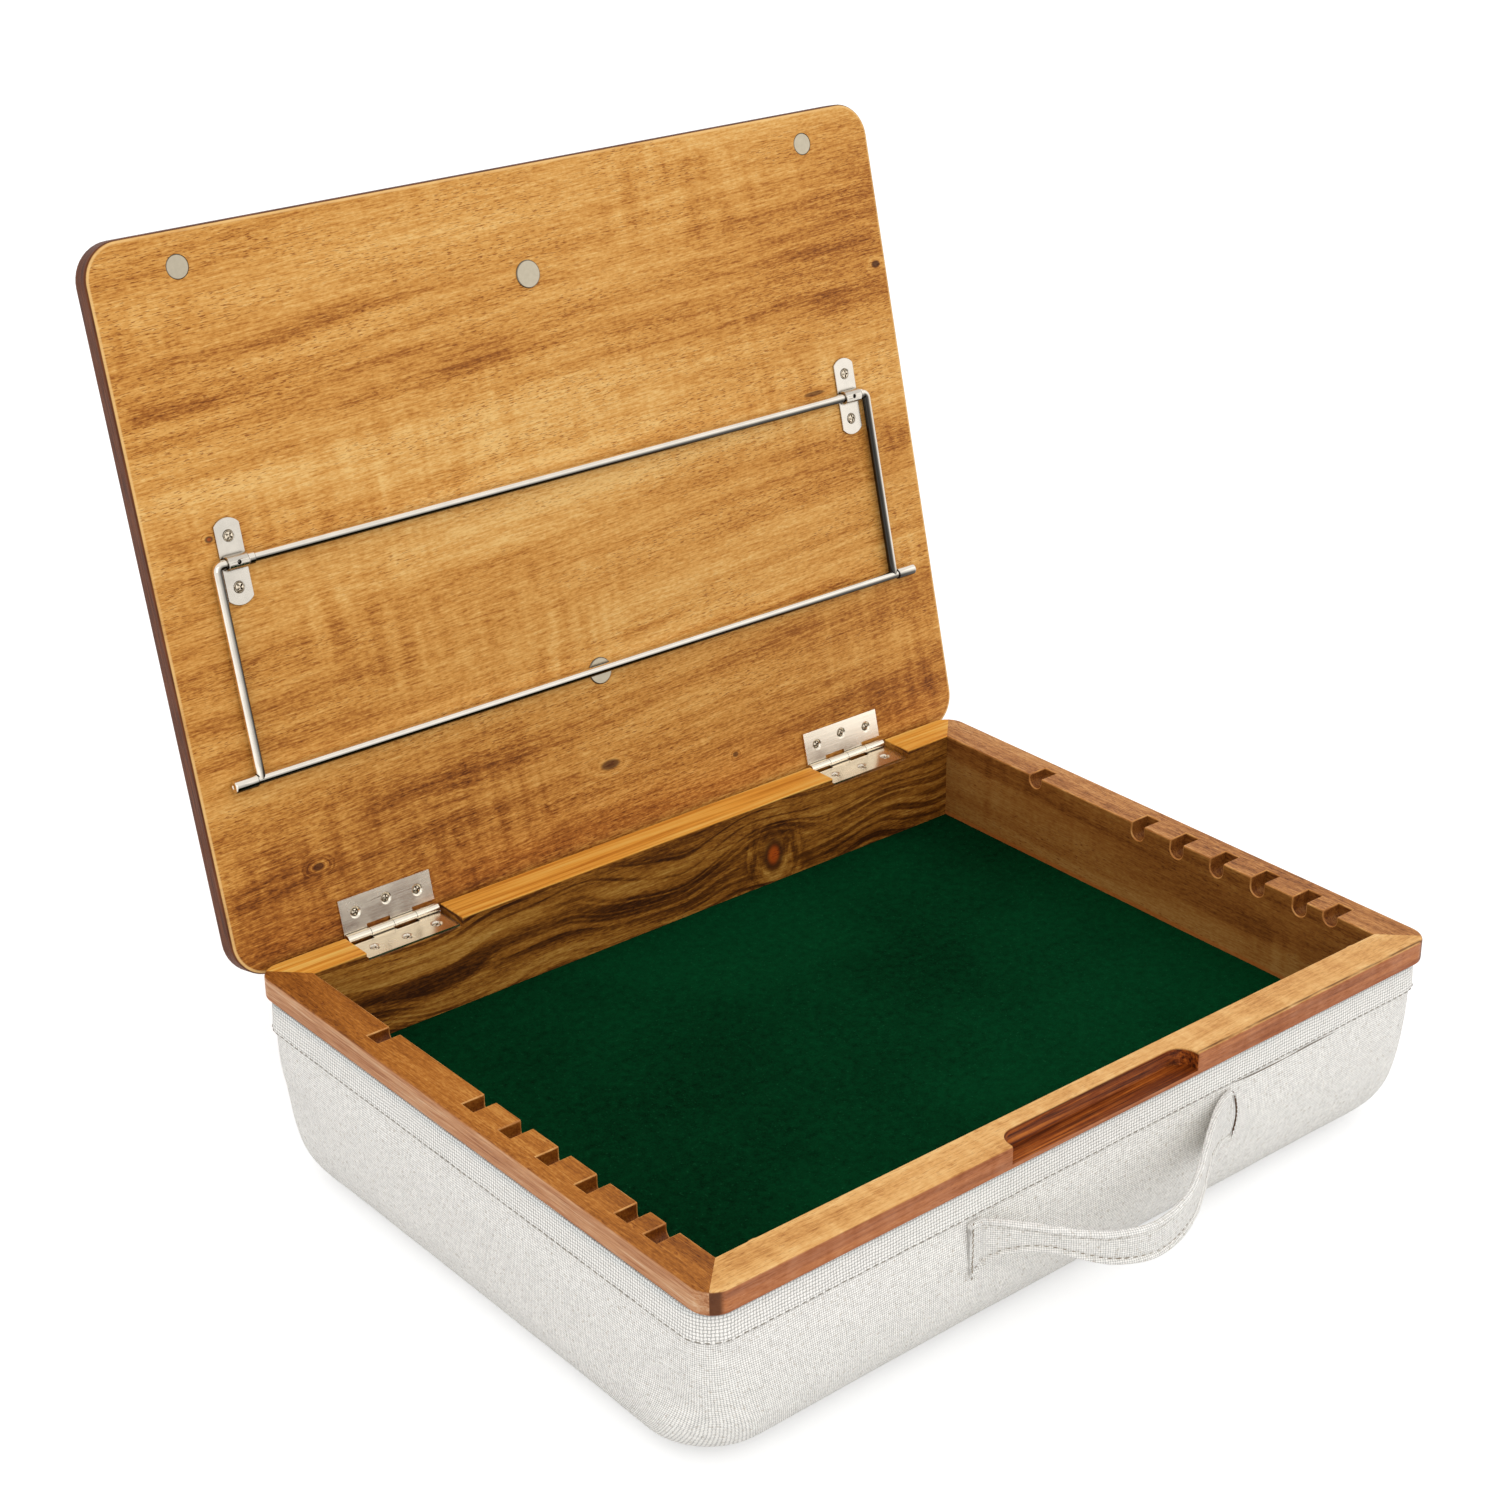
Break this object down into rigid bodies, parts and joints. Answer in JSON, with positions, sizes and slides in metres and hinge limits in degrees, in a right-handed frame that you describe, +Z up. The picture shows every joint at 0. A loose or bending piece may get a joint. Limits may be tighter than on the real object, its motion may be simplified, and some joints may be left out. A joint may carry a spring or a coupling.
{
  "type": "lap desk with lift lid",
  "caption": "Cushioned lap desk: a shallow mitred wooden tray lined with felt, a hinged lid with a swinging wire prop that seats in rail notches, and a canvas carrying strap.",
  "frame": {"origin": "centre of the flat underside of the cushion, on the surface it stands on", "axes": "+X to the right across the desk, +Y from the front with the finger recess to the hinged back, +Z up"},
  "size_m": [0.3988, 0.4148, 0.3722],
  "materials": {
    "front_rail_wood": "satin oiled acacia, light",
    "rail_wood": "satin oiled acacia, orange-brown",
    "lid_wood": "satin oiled acacia, honey gold with a dark edge",
    "floor_plywood": "bare plywood",
    "green_felt": "dense felt",
    "cotton_canvas": "washed cotton canvas, linen weave",
    "hem_weave": "open basket weave",
    "cushion_filling": "soft fibre filling",
    "nickel_hardware": "bright nickel plate"
  },
  "bodies": {
    "case": {"front_rail": "front_rail_wood", "back_rail": "rail_wood", "left_rail": "rail_wood", "right_rail": "rail_wood", "tray_floor": "floor_plywood", "felt_liner": "green_felt", "rail_keepers": "nickel_hardware", "keeper_plugs": "front_rail_wood", "cushion_filling": "cushion_filling", "cushion_cover": "cotton_canvas", "hem_band": "hem_weave", "carry_strap": "cotton_canvas", "left_case_leaf": "nickel_hardware", "right_case_leaf": "nickel_hardware", "hinge_pins": "nickel_hardware", "case_leaf_screws": "nickel_hardware"},
    "lid": {"lid_panel": "lid_wood", "left_lid_leaf": "nickel_hardware", "right_lid_leaf": "nickel_hardware", "lid_leaf_screws": "nickel_hardware", "corner_magnets": "nickel_hardware", "bail_magnets": "nickel_hardware", "left_prop_bracket": "nickel_hardware", "right_prop_bracket": "nickel_hardware", "bracket_screws": "nickel_hardware"},
    "bail": {"bail_frame": "nickel_hardware", "bail_crossbar": "nickel_hardware", "bail_end_sleeves": "nickel_hardware", "bail_collars": "nickel_hardware"}
  },
  "joints": [
    {"name": "lid_hinge", "type": "hinge", "parent": "case", "child": "lid", "pos_m": [0, 0.147, 0.085], "axis": [1, 0, 0], "range_deg": [0, 104]},
    {"name": "bail_swing", "type": "hinge", "parent": "lid", "child": "bail", "pos_m": [0, 0.1864, 0.24549], "axis": [-1, 0, 0], "range_deg": [0, 180]}
  ]
}
